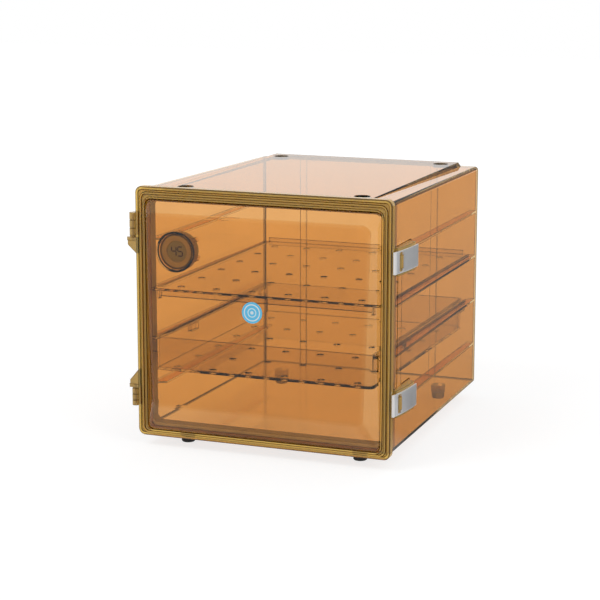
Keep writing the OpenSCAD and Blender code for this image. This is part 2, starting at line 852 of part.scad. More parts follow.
// Arm on the door's edge: a round-ended lip with a collar, carried by a wedge
module hinge_arm(upper) {
    half_t = hinge_forward;
    wedge_h = upper ? upper_wedge_h : lower_wedge_h;
    end_x = half_t - lip_reach;
    hinge_place(upper)
        color([0.82, 0.60, 0.24, 0.7])
            difference() {
                union() {
                    translate([end_x, -half_t, -lip_t])
                        cube([hinge_out - end_x, 2 * half_t, lip_t]);
                    translate([end_x, 0, -lip_t])
                        cylinder(r = half_t, h = lip_t);
                    cylinder(r = barrel_r - face_gap, h = collar_h);
                    translate([0, half_t - wedge_inset, 0])
                        rotate([90, 0, 0])
                            linear_extrude(2 * (half_t - wedge_inset))
                                polygon([
                                    [hinge_out, -lip_t - wedge_h],
                                    [hinge_out, -lip_t],
                                    [wedge_end_inset - lip_reach, -lip_t],
                                    [wedge_end_inset - lip_reach, -lip_t - wedge_tip_h]
                                ]);
                }
                translate([0, 0, -lip_t - seat_gap])
                    cylinder(d = hinge_pin_d + 2 * running_gap, h = lip_t + collar_h + cut);
            }
}

module hinge_arm_upper() hinge_arm(true);
module hinge_arm_lower() hinge_arm(false);

// ---------- Latches ----------

module latch_place(upper) {
    translate([latch_x, latch_y, upper ? upper_latch_z : lower_latch_z])
        children();
}

// Bowed sheet: the part of a thin upright drum that lies over the latch
module bowed_sheet(inner_x, t, h, front, back) {
    intersection() {
        translate([inner_x - lever_bow_r, lever_tail, -h / 2])
            difference() {
                cylinder(r = lever_bow_r + t, h = h, $fn = 360);
                translate([0, 0, -cut])
                    cylinder(r = lever_bow_r, h = h + 2 * cut, $fn = 360);
            }
        translate([inner_x - 3 * lever_bow, front, -h / 2 - cut])
            cube([3 * lever_bow + 2 * t, back - front, h + 2 * cut]);
    }
}

// Base on the housing's side wall, with two ears round the lever's eye and a rib for the lever's slot
module latch_base(upper) {
    seat = -latch_pin_out;
    front = mouth_y + base_setback - latch_y;
    outer_r = lever_bow_r - face_gap;
    drum_x = eye_r + face_gap - lever_bow_r;
    ear_r = eye_r - seat_gap;
    pocket_h = eye_h + 2 * face_gap;
    latch_place(upper)
        color([0.78, 0.50, 0.20, 0.7])
            difference() {
                union() {
                    // outer face follows the bowed lever
                    intersection() {
                        translate([seat, front, -base_h / 2])
                            cube([latch_pin_out + eye_r, -front, base_h]);
                        translate([drum_x, lever_tail, -base_h])
                            cylinder(r = outer_r, h = 2 * base_h, $fn = 360);
                    }
                    intersection() {
                        translate([seat, slot_rel_y - slot_w / 2 + face_gap, -slot_rib_h / 2])
                            cube([3 * latch_pin_out, slot_w - 2 * face_gap, slot_rib_h]);
                        translate([drum_x, lever_tail, -base_h])
                            cylinder(r = lever_bow_r + lever_t + slot_rib_out, h = 2 * base_h, $fn = 360);
                    }
                    translate([0, 0, -base_h / 2])
                        cylinder(r = ear_r, h = base_h);
                    translate([seat, -cut, -base_h / 2])
                        cube([latch_pin_out, ear_r + cut, base_h]);
                }
                translate([-eye_r - face_gap, -eye_r - face_gap, -pocket_h / 2])
                    cube([4 * eye_r, 4 * eye_r, pocket_h]);
                translate([0, 0, -base_h])
                    cylinder(d = latch_pin_d + seat_gap, h = 2 * base_h);
            }
}

module latch_base_upper() latch_base(true);
module latch_base_lower() latch_base(false);

module latch_pin(upper) {
    latch_place(upper)
        color([0.75, 0.75, 0.77])
            cylinder(d = latch_pin_d, h = base_h, center = true);
}

module latch_pin_upper() latch_pin(true);
module latch_pin_lower() latch_pin(false);

// Pressed sheet lever: bowed plate with a slot, rolled eye at the back and a hooked front
module latch_lever(upper) {
    inner_x = eye_r + face_gap;
    front_x = inner_x - lever_bow;
    bend_y = mouth_y + face_gap - latch_y;
    tip_y = lever_front_y - latch_y;
    hook_x = door_w / 2 + face_gap - latch_x;
    latch_place(upper)
        color([0.78, 0.79, 0.80])
            difference() {
                union() {
                    bowed_sheet(inner_x, lever_t, lever_h, bend_y, lever_tail);
                    translate([0, 0, -lever_h / 2])
                        linear_extrude(lever_h)
                            polygon([
                                [front_x, bend_y + lever_t],
                                [front_x + lever_t, bend_y + lever_t],
                                [front_x + lever_t - lever_toe_in, tip_y],
                                [hook_x, tip_y],
                                [hook_x, tip_y + lever_t],
                                [front_x - lever_toe_in, tip_y + lever_t],
                                [front_x - lever_toe_in, bend_y - lever_t]
                            ]);
                    translate([0, 0, -eye_h / 2])
                        cylinder(r = eye_r, h = eye_h);
                    translate([0, -eye_r, -eye_h / 2])
                        cube([inner_x + lever_t / 2, eye_r, eye_h]);
                }
                translate([0, 0, -lever_h])
                    cylinder(d = latch_pin_d + 2 * running_gap, h = 2 * lever_h);
                translate([front_x, slot_rel_y, 0])
                    rotate([0, 90, 0])
                        linear_extrude(4 * lever_bow, center = true)
                            rounded_rect(slot_h, slot_w, slot_round);
            }
}

module latch_lever_upper() latch_lever(true);
module latch_lever_lower() latch_lever(false);

// Lug on the door's edge that the hook holds
module latch_keeper(upper) {
    lug_out = lever_inner_x - lever_bow - door_w / 2 - 2 * face_gap;
    translate([door_w / 2, door_back_y - keeper_t, (upper ? upper_latch_z : lower_latch_z) - keeper_h / 2])
        color([0.55, 0.38, 0.16, 0.8])
            cube([lug_out, keeper_t, keeper_h]);
}

module latch_keeper_upper() latch_keeper(true);
module latch_keeper_lower() latch_keeper(false);

// ---------- Shelf and tray ----------

// Grid of drain holes whose first row lies at the given place
module hole_grid(first_y, low_z, t) {
    for (i = [0 : hole_count - 1], j = [0 : hole_count - 1])
        translate([(i - (hole_count - 1) / 2) * hole_pitch_x, first_y + j * hole_pitch_y, low_z - cut])
            cylinder(d = hole_d, h = t + 2 * cut, $fn = 24);
}

module shelf() {
    color([0.80, 0.50, 0.26, 0.6])
        difference() {
            union() {
                translate([-shelf_w / 2, shelf_front_y, shelf_seat_z])
                    cube([shelf_w, shelf_len, shelf_t]);
                translate([-shelf_lip_w / 2, shelf_front_y, shelf_seat_z + shelf_t - shelf_lip_h])
                    cube([shelf_lip_w, shelf_t, shelf_lip_h]);
                both_sides()
                    translate([shelf_lip_w / 2 - shelf_t, shelf_front_y, shelf_seat_z - shelf_lip_h])
                        cube([shelf_t, 2 * shelf_t, shelf_lip_h]);
                translate([-shelf_lip_w / 2, shelf_front_y + shelf_len - shelf_t, shelf_seat_z])
                    cube([shelf_lip_w, shelf_t, shelf_t + shelf_upstand]);
            }
            hole_grid(shelf_front_y + shelf_hole_setback, shelf_seat_z, shelf_t);
        }
}

// Plan outline of a rounded box from its front edge, centred on x
module rounded_box(w, len, round, h) {
    linear_extrude(h)
        translate([0, len / 2])
            rounded_rect(w, len, round);
}

module tray() {
    low_z = tray_seat_z - tray_drop;
    top_z = tray_seat_z + tray_wall + tray_edge_h;
    color([0.80, 0.50, 0.26, 0.6])
        difference() {
            union() {
                translate([0, tray_front_y, low_z])
                    rounded_box(tray_body_w, tray_len, tray_round, top_z - low_z);
                translate([0, tray_front_y, tray_seat_z])
                    rounded_box(tray_w, tray_len, rim_round, tray_wall);
                translate([-tray_w / 2, tray_front_y, top_z - fascia_h])
                    cube([tray_w, tray_wall, fascia_h]);
                // hooks that reach under the runners
                both_sides()
                    for (start = [hook_front_inset, tray_len - hook_back_inset - hook_len])
                        translate([
                            tray_body_w / 2 - tray_wall,
                            tray_front_y + start,
                            tray_seat_z - runner_t - face_gap - hook_h
                        ])
                            cube([tray_wall + hook_out, hook_len, hook_h]);
            }
            translate([0, tray_front_y + tray_wall, low_z + tray_wall])
                rounded_box(
                    tray_body_w - 2 * tray_wall, tray_len - 2 * tray_wall,
                    tray_round - tray_wall, top_z - low_z
                );
            hole_grid(tray_front_y + tray_hole_setback, low_z, tray_wall);
        }
}

// ---------- Hygrometer ----------

// Places a piece on the hygrometer's axis, the given distance behind the bezel's face, running back
module gauge_place(behind) {
    translate([gauge_x, door_front_y - gauge_reach + behind, gauge_z])
        rotate([-90, 0, 0])
            children();
}

module hygrometer_bezel() {
    color([0.42, 0.36, 0.20])
        gauge_place(0)
            rotate_extrude()
                polygon([
                    [display_d / 2, bezel_dish + bezel_bevel],
                    [display_d / 2 + bezel_bevel, bezel_dish],
                    [gauge_d / 2 - bezel_rim_w - bezel_dish, bezel_dish],
                    [gauge_d / 2 - bezel_rim_w, 0],
                    [gauge_d / 2 - bezel_bevel, 0],
                    [gauge_d / 2, bezel_bevel],
                    [gauge_d / 2, bezel_t],
                    [display_d / 2, bezel_t]
                ]);
}

module hygrometer_display() {
    color([0.16, 0.16, 0.14])
        gauge_place(display_inset)
            cylinder(r = display_d / 2 - seat_gap, h = bezel_t - display_inset);
}

module hygrometer_case() {
    color([0.40, 0.35, 0.20])
        gauge_place(bezel_t)
            difference() {
                rotate_extrude()
                    polygon([
                        [0, 0],
                        [gauge_d / 2, 0],
                        [gauge_d / 2, gauge_case_len - case_bevel],
                        [gauge_d / 2 - case_bevel, gauge_case_len],
                        [0, gauge_case_len]
                    ]);
                translate([0, 0, gauge_case_len - battery_cover_t])
                    cylinder(r = battery_cover_d / 2 + seat_gap, h = battery_cover_t + cut);
            }
}

module hygrometer_battery_cover() {
    color([0.34, 0.30, 0.18])
        gauge_place(bezel_t + gauge_case_len - battery_cover_t)
            difference() {
                cylinder(d = battery_cover_d, h = battery_cover_t);
                translate([-coin_slot_len / 2, -coin_slot_w / 2, battery_cover_t / 2])
                    cube([coin_slot_len, coin_slot_w, battery_cover_t]);
            }
}

// Ring with a front lip and clips that reach over the back of the case
module hygrometer_holder() {
    inner_r = gauge_d / 2 + seat_gap * 2;
    body_len = bezel_t + gauge_case_len;
    clip_r = gauge_d / 2 - lip_hold;
    front = -bezel_t / 4;
    color([0.80, 0.52, 0.26, 0.7])
        gauge_place(0)
            difference() {
                union() {
                    translate([0, 0, front])
                        cylinder(r = gauge_d / 2 + holder_wall, h = holder_len);
                    for (i = [0 : clip_count - 1])
                        rotate([0, 0, clip_start + i * 360 / clip_count])
                            translate([clip_r, -clip_w / 2, 0])
                                cube([lip_hold + holder_wall, clip_w, body_len + clip_hold]);
                }
                cylinder(r = inner_r, h = body_len + seat_gap);
                translate([0, 0, front - cut])
                    cylinder(r = clip_r, h = 2 * body_len);
            }
}

// ---------- Label ----------

module label_disc() {
    // the seat follows the leaning panel
    panel_y_at_label = panel_front_y - (panel_mid_z - label_z) * tan(panel_tilt);
    color([0.20, 0.60, 0.78])
        translate([-label_left, panel_y_at_label, label_z])
            rotate([90 - panel_tilt, 0, 0])
                cylinder(d = label_d, h = label_t);
}

housing();
mouth_gasket();
door();
foot_front_left();
foot_front_right();
foot_back_left();
foot_back_right();
hinge_block_upper();
hinge_block_lower();
hinge_pin_upper();
hinge_pin_lower();
hinge_arm_upper();
hinge_arm_lower();
latch_base_upper();
latch_base_lower();
latch_pin_upper();
latch_pin_lower();
latch_lever_upper();
latch_lever_lower();
latch_keeper_upper();
latch_keeper_lower();
shelf();
tray();
hygrometer_holder();
hygrometer_case();
hygrometer_bezel();
hygrometer_display();
hygrometer_battery_cover();
label_disc();
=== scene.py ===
"""Looks of a bench-top desiccator cabinet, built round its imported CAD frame.

Metres, +Z up, door at -Y.
"""

import math

import bmesh
import bpy
from mathutils import Matrix, Vector


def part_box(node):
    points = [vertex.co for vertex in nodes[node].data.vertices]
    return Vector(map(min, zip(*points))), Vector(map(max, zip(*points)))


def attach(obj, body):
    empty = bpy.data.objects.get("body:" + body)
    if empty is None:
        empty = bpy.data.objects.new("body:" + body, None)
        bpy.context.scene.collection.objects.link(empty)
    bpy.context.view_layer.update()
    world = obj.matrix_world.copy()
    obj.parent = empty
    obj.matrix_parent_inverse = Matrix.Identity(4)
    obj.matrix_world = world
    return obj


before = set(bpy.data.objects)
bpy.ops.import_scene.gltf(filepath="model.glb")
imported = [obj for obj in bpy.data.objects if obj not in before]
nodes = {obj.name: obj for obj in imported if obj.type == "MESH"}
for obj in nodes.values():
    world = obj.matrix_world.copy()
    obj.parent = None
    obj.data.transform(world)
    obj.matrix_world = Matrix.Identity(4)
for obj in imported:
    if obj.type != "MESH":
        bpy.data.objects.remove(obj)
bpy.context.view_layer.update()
scene = bpy.context.scene

# Camera: place, heading left of +Y, angle below the horizon, roll, lens and sensor width in mm,
# and how far it sees
CAMERA_PLACE = (0.78655, -2.0925, 0.60757)
CAMERA_HEADING = math.radians(21.094)
CAMERA_DOWN = math.radians(11.540)
CAMERA_ROLL = math.radians(0.052)
CAMERA_LENS = 112.68
CAMERA_SENSOR = 36
CAMERA_REACH = 50

FEET = ("foot_front_left", "foot_front_right", "foot_back_left", "foot_back_right")

# See-through plastic: what one wall leaves of red, green and blue
AMBER_WALL = (0.78, 0.49, 0.20)
# Frame's amber lifted to gold on the crests of the ridges: a painted highlight
FRAME_HIGHLIGHT_WALL = (0.88, 0.60, 0.13)
# Painted shade on the flanks of the frame's ridges
FRAME_FLANK_SHADE = (0.09, 0.05, 0.01)
# Paler slopes round the window: a painted reflection
FACET_REFLECTION_WALL = (0.90, 0.70, 0.50)
HINGE_WALL = (0.66, 0.43, 0.12)
LATCH_WALL = (0.96, 0.62, 0.17)
HOLDER_WALL = (0.92, 0.80, 0.55)
CLEAR_WALL = (0.84, 0.79, 0.70)
TONE_SPREAD = 0.02

# Darker and lighter tone of what isn't see-through
GASKET_TONES = ((0.50, 0.46, 0.27), (0.58, 0.53, 0.32))
FOOT_TONES = ((0.008, 0.008, 0.008), (0.016, 0.016, 0.016))
PIN_TONES = ((0.56, 0.56, 0.58), (0.64, 0.64, 0.66))
LEVER_TONES = ((0.81, 0.82, 0.84), (0.85, 0.86, 0.88))
GAUGE_TONES = ((0.38, 0.36, 0.18), (0.44, 0.42, 0.21))
DISPLAY_TONES = ((0.22, 0.25, 0.14), (0.26, 0.29, 0.17))
INK_TONES = ((0.004, 0.005, 0.003), (0.008, 0.009, 0.006))

# Noise at which a tone is darkest and lightest, and at which a surface is smoothest and roughest
TONE_NOISE = (0.35, 0.65)
ROUGH_NOISE = (0.3, 0.7)

# Share of the light that passes through the wall, where part of it is scattered
FRAME_CLEARNESS = 0.6
HINGE_CLEARNESS = 0.5
LATCH_CLEARNESS = 0.5

# Index that bends the light in the wall, and index, share and roughness of the gloss on it
BEND_IOR = 1.05
GLOSS_IOR = 1.5
GLOSS_SHARE = 0.72
GLOSS_ROUGHNESS = 0.02

# Lines along sharp edges, painted shade on plastic and a painted highlight on the levers: reach
# from the edge
EDGE_REACH = 0.0013
SHELF_EDGE_REACH = 0.0015
SMALL_EDGE_REACH = 0.0006
LEVER_EDGE_REACH = 0.0015

# Likeness of the bevelled and the plain normal where a line starts and where it is full
EDGE_START = 0.98
EDGE_FULL = 0.92
EDGE_SAMPLES = 8

# Share of the wall's colour that a painted shade line leaves, and strength of these lines on the
# door's frame
EDGE_SHADE_SHARE = 0.02
EDGE_SHADE_ON_FRAME = 0.55

# Round edges of the housing: least product of two parts of the surface's direction there,
# half the blend round it, and strength of the painted shade line along them
ROUND_TURN = 0.25
ROUND_BLEND = 0.02
ROUND_SHADE = 0.8

# Recesses in the top, one above each foot: radius, height above which the wall is in one,
# and share of the wall's colour left there as painted shade
RECESS_R = 0.009
RECESS_FLOOR_Z = 0.290
RECESS_SHADE_SHARE = 0.12

# How straight a face of the door looks forward: the flat panel, its slopes, the crests and
# the flanks of the ridges, and the door's rim with the start of the flanks beside it
PANEL_FACING = 0.985
SLOPE_FACING = 0.80
CREST_FACING = 0.88
GROOVE_FACING = 0.78
RIM_FACING = 0.12
RIM_END_FACING = 0.17

# Painted highlight on the bend of a latch lever: how far behind the lever's front it is full, and
# where it ends; colour and metal share of the painted highlight on the bend and the lever's edges
LEVER_BEND = 0.0040
LEVER_BEND_END = 0.0048
LEVER_HIGHLIGHT = (1.0, 1.0, 1.0)
LEVER_HIGHLIGHT_METAL = 0.1

# Width of the door's ridged frame beside, above and below the window
FRAME_SIDE = 0.0123
FRAME_TOP = 0.0143
FRAME_LOW = 0.0079

# Round label: share of its radius at which a ring starts, and the ring's colour
LABEL_RINGS = (
    (0.00, (0.80, 0.92, 0.96)),
    (0.16, (0.14, 0.62, 0.95)),
    (0.34, (0.70, 0.92, 1.0)),
    (0.44, (0.14, 0.62, 0.95)),
    (0.70, (0.88, 0.95, 0.98)),
    (0.80, (0.14, 0.62, 0.95)),
)

# Figures on the hygrometer: height, width, gap between them, thickness, width of a stroke, and
# share of that width by which a stroke starts short of its end
FIGURES = "45"
FIGURE_H = 0.0105
FIGURE_W = 0.0056
FIGURE_GAP = 0.0022
FIGURE_T = 0.0001
FIGURE_STROKE = 0.0013
STROKE_SHORT = 0.6

# Strokes of a seven-stroke figure: ends as shares of its width and height
STROKES = {
    "top": ((0, 1), (1, 1)), "middle": ((0, 0.5), (1, 0.5)), "low": ((0, 0), (1, 0)),
    "upper_left": ((0, 0.5), (0, 1)), "upper_right": ((1, 0.5), (1, 1)),
    "lower_left": ((0, 0), (0, 0.5)), "lower_right": ((1, 0), (1, 0.5)),
}
FIGURE_STROKES = {
    "4": ("upper_left", "upper_right", "middle", "lower_right"),
    "5": ("top", "upper_left", "middle", "lower_right", "low"),
}

# Strength of the white sky on what it lights
SKY_ON_DIFFUSE = 0.62

# Floor: half its side, its shade, its glow as the camera sees it near and far, and the distances
# from the origin between which the glow changes
FLOOR_REACH = 6
FLOOR_SHADE = 0.30
FLOOR_LIFT = 0.76
FLOOR_FAR_LIFT = 0.86
FLOOR_FADE = (0.5, 2.0)

# Floor in reflections: its glow in front and behind, how far the front spreads sideways, and the
# distances in front of the origin between which it changes
FLOOR_GLOSS_NEAR = 1.0
FLOOR_GLOSS_FAR = 0.05
FLOOR_GLOSS_SPREAD = 0.5
FLOOR_GLOSS_FADE = (0.1, 0.25)

# Lamps: place and power in watts; all are round and look at the middle of the cabinet
LAMPS = {
    "key_lamp": ((-1.2, -1.8, 2.6), 26),
    "fill_lamp": ((2.2, -1.4, 1.6), 18),
    "back_lamp": ((0.6, 2.2, 2.2), 12),
}
LAMP_SIZE = 1.6
LAMP_TARGET = (0, 0, 0.15)


def link(material, source, target):
    material.node_tree.links.new(source, target)


def add_node(material, kind, **settings):
    node = material.node_tree.nodes.new(kind)
    for name, value in settings.items():
        setattr(node, name, value)
    return node


def new_material(name):
    material = bpy.data.materials.new(name)
    material.use_nodes = True
    return material


def shader(material):
    return material.node_tree.nodes["Principled BSDF"]


def math_node(material, operation, first, second=0.0):
    """Result of a Math node whose inputs are sockets or numbers."""
    node = add_node(material, "ShaderNodeMath", operation=operation)
    for socket, value in zip(node.inputs, (first, second)):
        if isinstance(value, (int, float)):
            socket.default_value = value
        else:
            link(material, value, socket)
    return node.outputs["Value"]


def map_range(material, value, low, high, to_low=0.0, to_high=1.0):
    spread = add_node(material, "ShaderNodeMapRange")
    spread.inputs["From Min"].default_value = low
    spread.inputs["From Max"].default_value = high
    spread.inputs["To Min"].default_value = to_low
    spread.inputs["To Max"].default_value = to_high
    link(material, value, spread.inputs["Value"])
    return spread.outputs["Result"]


def object_place(material):
    """Place on the piece, which stays with it when it moves."""
    return add_node(material, "ShaderNodeTexCoord").outputs["Object"]


def object_normal(material):
    """Direction of the surface, which stays with the piece when it moves."""
    return add_node(material, "ShaderNodeTexCoord").outputs["Normal"]


def split(material, vector):
    """Outputs X, Y and Z of a vector."""
    node = add_node(material, "ShaderNodeSeparateXYZ")
    link(material, vector, node.inputs["Vector"])
    return node.outputs


def object_noise(material, scale, detail=2.0):
    """Noise that is fixed to the piece."""
    noise = add_node(material, "ShaderNodeTexNoise")
    noise.inputs["Scale"].default_value = scale
    noise.inputs["Detail"].default_value = detail
    link(material, object_place(material), noise.inputs["Vector"])
    return noise.outputs["Fac"]


def vary_roughness(material, scale, low, high):
    """Roughness that drifts from place to place."""
    rough = map_range(material, object_noise(material, scale), *ROUGH_NOISE, low, high)
    link(material, rough, shader(material).inputs["Roughness"])


def add_bump(material, scale, distance, strength):
    """Fine grain on the surface."""
    bump = add_node(material, "ShaderNodeBump")
    bump.inputs["Strength"].default_value = strength
    bump.inputs["Distance"].default_value = distance
    link(material, object_noise(material, scale), bump.inputs["Height"])
    link(material, bump.outputs["Normal"], shader(material).inputs["Normal"])


def noise_ramp(material, scale, dark, light):
    """Colour that drifts between two tones from place to place."""
    ramp = add_node(material, "ShaderNodeValToRGB")
    for element, place, colour in zip(ramp.color_ramp.elements, TONE_NOISE, (dark, light)):
        element.position = place
        element.color = (*colour, 1)
    link(material, object_noise(material, scale, detail=4.0), ramp.inputs["Fac"])
    return ramp.outputs["Color"]


def mix_colour(material, factor, first, second):
    """First colour where the factor is 0 and second where it is 1; each a socket or a colour."""
    mix = add_node(material, "ShaderNodeMix", data_type="RGBA")
    link(material, factor, mix.inputs["Factor"])
    for socket, value in zip((mix.inputs[6], mix.inputs[7]), (first, second)):
        if isinstance(value, tuple):
            socket.default_value = (*value, 1)
        else:
            link(material, value, socket)
    return mix.outputs[2]


def edge_mask(material, reach):
    """1 on a strip along every sharp edge, 0 on the faces between."""
    bevel = add_node(material, "ShaderNodeBevel", samples=EDGE_SAMPLES)
    bevel.inputs["Radius"].default_value = reach
    face = add_node(material, "ShaderNodeNewGeometry")
    likeness = add_node(material, "ShaderNodeVectorMath", operation="DOT_PRODUCT")
    link(material, bevel.outputs["Normal"], likeness.inputs[0])
    link(material, face.outputs["Normal"], likeness.inputs[1])
    return map_range(material, likeness.outputs["Value"], EDGE_START, EDGE_FULL)


def outer_gloss(material, edges):
    """Gloss on the side that faces the air, away from the edges."""
    face = add_node(material, "ShaderNodeNewGeometry")
    outside = math_node(material, "SUBTRACT", 1.0, face.outputs["Backfacing"])
    plain = map_range(material, edges, 0.0, 1.0, GLOSS_SHARE, 0.0)
    gloss = math_node(material, "MULTIPLY", outside, plain)
    link(material, gloss, shader(material).inputs["Coat Weight"])


def tones(colour):
    """A slightly darker and a slightly lighter tone of a colour."""
    dark = tuple(c * (1 - TONE_SPREAD) for c in colour)
    light = tuple(min(c * (1 + TONE_SPREAD), 1) for c in colour)
    return dark, light


def frame_mask(material):
    """1 on the ridged frame of the door, 0 on its window."""
    low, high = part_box("door")
    window_low, window_high = low[2] + FRAME_LOW, high[2] - FRAME_TOP
    place = split(material, object_place(material))
    reaches = []
    for axis, middle, half in (
        ("X", (low[0] + high[0]) / 2, (high[0] - low[0]) / 2 - FRAME_SIDE),
        ("Z", (window_low + window_high) / 2, (window_high - window_low) / 2),
    ):
        away = math_node(material, "SUBTRACT", place[axis], middle)
        distance = math_node(material, "ABSOLUTE", away)
        reaches.append(math_node(material, "SUBTRACT", distance, half))
    return math_node(material, "GREATER_THAN", math_node(material, "MAXIMUM", *reaches))


def facing(material):
    """1 on faces that look straight forward or back, 0 on those that look sideways."""
    return math_node(material, "ABSOLUTE", split(material, object_normal(material))["Y"])


def slope_mask(material):
    """1 on the slopes of the raised window, where a painted reflection goes, 0 on its flat panel,
    in between on the soft edge.
    """
    return map_range(material, facing(material), PANEL_FACING, SLOPE_FACING)


def groove_mask(material):
    """1 on the flanks of the frame's ridges, where shade is painted, 0 on their crests and on the
    door's rim.
    """
    turned = facing(material)
    flank = map_range(material, turned, CREST_FACING, GROOVE_FACING)
    inside_rim = map_range(material, turned, RIM_FACING, RIM_END_FACING)
    return math_node(material, "MULTIPLY", flank, inside_rim)


def recess_mask(material):
    """1 in the four recesses of the top, where shade is painted, 0 elsewhere."""
    place = split(material, object_place(material))
    nearest = 1.0
    for name in FEET:
        low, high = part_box(name)
        squares = []
        for axis, index in (("X", 0), ("Y", 1)):
            away = math_node(material, "SUBTRACT", place[axis], (low[index] + high[index]) / 2)
            squares.append(math_node(material, "MULTIPLY", away, away))
        distance = math_node(material, "ADD", *squares)
        nearest = math_node(material, "MINIMUM", distance, nearest)
    inside = math_node(material, "LESS_THAN", nearest, RECESS_R ** 2)
    high_up = math_node(material, "GREATER_THAN", place["Z"], RECESS_FLOOR_Z)
    return math_node(material, "MULTIPLY", inside, high_up)


def housing_edge_shade(material, edges):
    """Painted shade lines along the round edges too."""
    turn = split(material, object_normal(material))
    most = 0.0
    for first, second in (("X", "Y"), ("Y", "Z"), ("X", "Z")):
        both = math_node(material, "MULTIPLY", turn[first], turn[second])
        most = math_node(material, "MAXIMUM", math_node(material, "ABSOLUTE", both), most)
    low, high = ROUND_TURN - ROUND_BLEND, ROUND_TURN + ROUND_BLEND
    rounds = map_range(material, most, low, high, 0.0, ROUND_SHADE)
    return math_node(material, "MAXIMUM", edges, rounds)


def door_edge_shade(material, edges):
    """Fainter painted shade lines between the ridges of the frame."""
    share = map_range(material, frame_mask(material), 0.0, 1.0, 1.0, EDGE_SHADE_ON_FRAME)
    return math_node(material, "MULTIPLY", edges, share)


def door_colour_and_light(material, body):
    """Painted reflection on the paler slopes round the window; on the frame, golden crests as a
    painted highlight and dark flanks as painted shade.
    """
    sloped = mix_colour(material, slope_mask(material), body, FACET_REFLECTION_WALL)
    ridged = mix_colour(material, groove_mask(material), FRAME_HIGHLIGHT_WALL, FRAME_FLANK_SHADE)
    return mix_colour(material, frame_mask(material), sloped, ridged)


def housing_colour_and_shade(material, body):
    """Painted shade in the recesses of the top."""
    dark = tuple(c * RECESS_SHADE_SHARE for c in AMBER_WALL)
    return mix_colour(material, recess_mask(material), body, dark)


def clear_plastic(
    name, colour, reach=EDGE_REACH, clearness=1.0, recolour=None, redraw_edges=None
):
    """Moulded see-through plastic: thin walls that hardly bend the light, glossy outside, with
    painted shade lines along the edges.
    """
    material = new_material(name)
    surface = shader(material)
    surface.inputs["Transmission Weight"].default_value = clearness
    surface.inputs["IOR"].default_value = BEND_IOR
    surface.inputs["Coat Roughness"].default_value = GLOSS_ROUGHNESS
    surface.inputs["Coat IOR"].default_value = GLOSS_IOR
    body = noise_ramp(material, 12, *tones(colour))
    if recolour:
        body = recolour(material, body)
    edges = edge_mask(material, reach)
    if redraw_edges:
        edges = redraw_edges(material, edges)
    # Painted shade: dark lines along the edges
    dark = tuple(c * EDGE_SHADE_SHARE for c in colour)
    link(material, mix_colour(material, edges, body, dark), surface.inputs["Base Color"])
    outer_gloss(material, edges)
    vary_roughness(material, scale=35, low=0.0, high=0.02)
    return material


def door_plastic():
    """Amber plastic that is less clear on the frame, where the ridges scatter the light."""
    material = clear_plastic(
        "door_plastic", AMBER_WALL, recolour=door_colour_and_light, redraw_edges=door_edge_shade
    )
    clearness = map_range(material, frame_mask(material), 0.0, 1.0, 1.0, FRAME_CLEARNESS)
    link(material, clearness, shader(material).inputs["Transmission Weight"])
    return material


def drifting(name, scale, dark, light):
    """New material whose colour drifts between two tones."""
    material = new_material(name)
    body = noise_ramp(material, scale, dark, light)
    link(material, body, shader(material).inputs["Base Color"])
    return material


def rubber(name, dark, light):
    material = drifting(name, 60, dark, light)
    vary_roughness(material, scale=90, low=0.5, high=0.7)
    add_bump(material, scale=900, distance=0.0002, strength=0.3)
    return material


def metal(name, dark, light, low_rough, high_rough):
    material = drifting(name, 90, dark, light)
    shader(material).inputs["Metallic"].default_value = 1.0
    vary_roughness(material, 40, low_rough, high_rough)
    return material


def lever_metal(name):
    """Satin sheet steel, with a painted highlight along its edges and on the bend at its front."""
    material = metal(name, *LEVER_TONES, 0.30, 0.36)
    along = split(material, object_place(material))["Y"]
    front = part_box("latch_lever_upper")[0][1]
    full, end = front + LEVER_BEND, front + LEVER_BEND_END
    bend = map_range(material, along, full, end, 1.0, 0.0)
    # Painted highlight: white on the bend and along the edges
    highlight = math_node(material, "MAXIMUM", bend, edge_mask(material, LEVER_EDGE_REACH))
    surface = shader(material)
    body = surface.inputs["Base Color"].links[0].from_socket
    colour = mix_colour(material, highlight, body, LEVER_HIGHLIGHT)
    link(material, colour, surface.inputs["Base Color"])
    metallic = map_range(material, highlight, 0.0, 1.0, 1.0, LEVER_HIGHLIGHT_METAL)
    link(material, metallic, surface.inputs["Metallic"])
    return material


def opaque_plastic(name, dark, light, low_rough, high_rough):
    material = drifting(name, 40, dark, light)
    vary_roughness(material, 150, low_rough, high_rough)
    add_bump(material, scale=1500, distance=0.0001, strength=0.2)
    return material


def ringed_film(name, node_name, rings):
    """Printed disc: plain rings round its middle."""
    material = new_material(name)
    low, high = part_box(node_name)
    middle = tuple((a + b) / 2 for a, b in zip(low, high))
    radius = (high[0] - low[0]) / 2
    away = add_node(material, "ShaderNodeVectorMath", operation="SUBTRACT")
    link(material, object_place(material), away.inputs[0])
    away.inputs[1].default_value = middle
    reach = add_node(material, "ShaderNodeVectorMath", operation="LENGTH")
    link(material, away.outputs["Vector"], reach.inputs[0])
    share = math_node(material, "DIVIDE", reach.outputs["Value"], radius)
    ramp = add_node(material, "ShaderNodeValToRGB")
    ramp.color_ramp.interpolation = "CONSTANT"
    elements = ramp.color_ramp.elements
    while len(elements) < len(rings):
        elements.new(1.0)
    for element, (place, colour) in zip(elements, rings):
        element.position = place
        element.color = (*colour, 1)
    link(material, share, ramp.inputs["Fac"])
    link(material, ramp.outputs["Color"], shader(material).inputs["Base Color"])
    vary_roughness(material, scale=150, low=0.25, high=0.35)
    return material


def dress(material, *names):
    """Gives a material to CAD nodes."""
    for name in names:
        piece = nodes[name]
        piece.data.materials.clear()
        piece.data.materials.append(material)


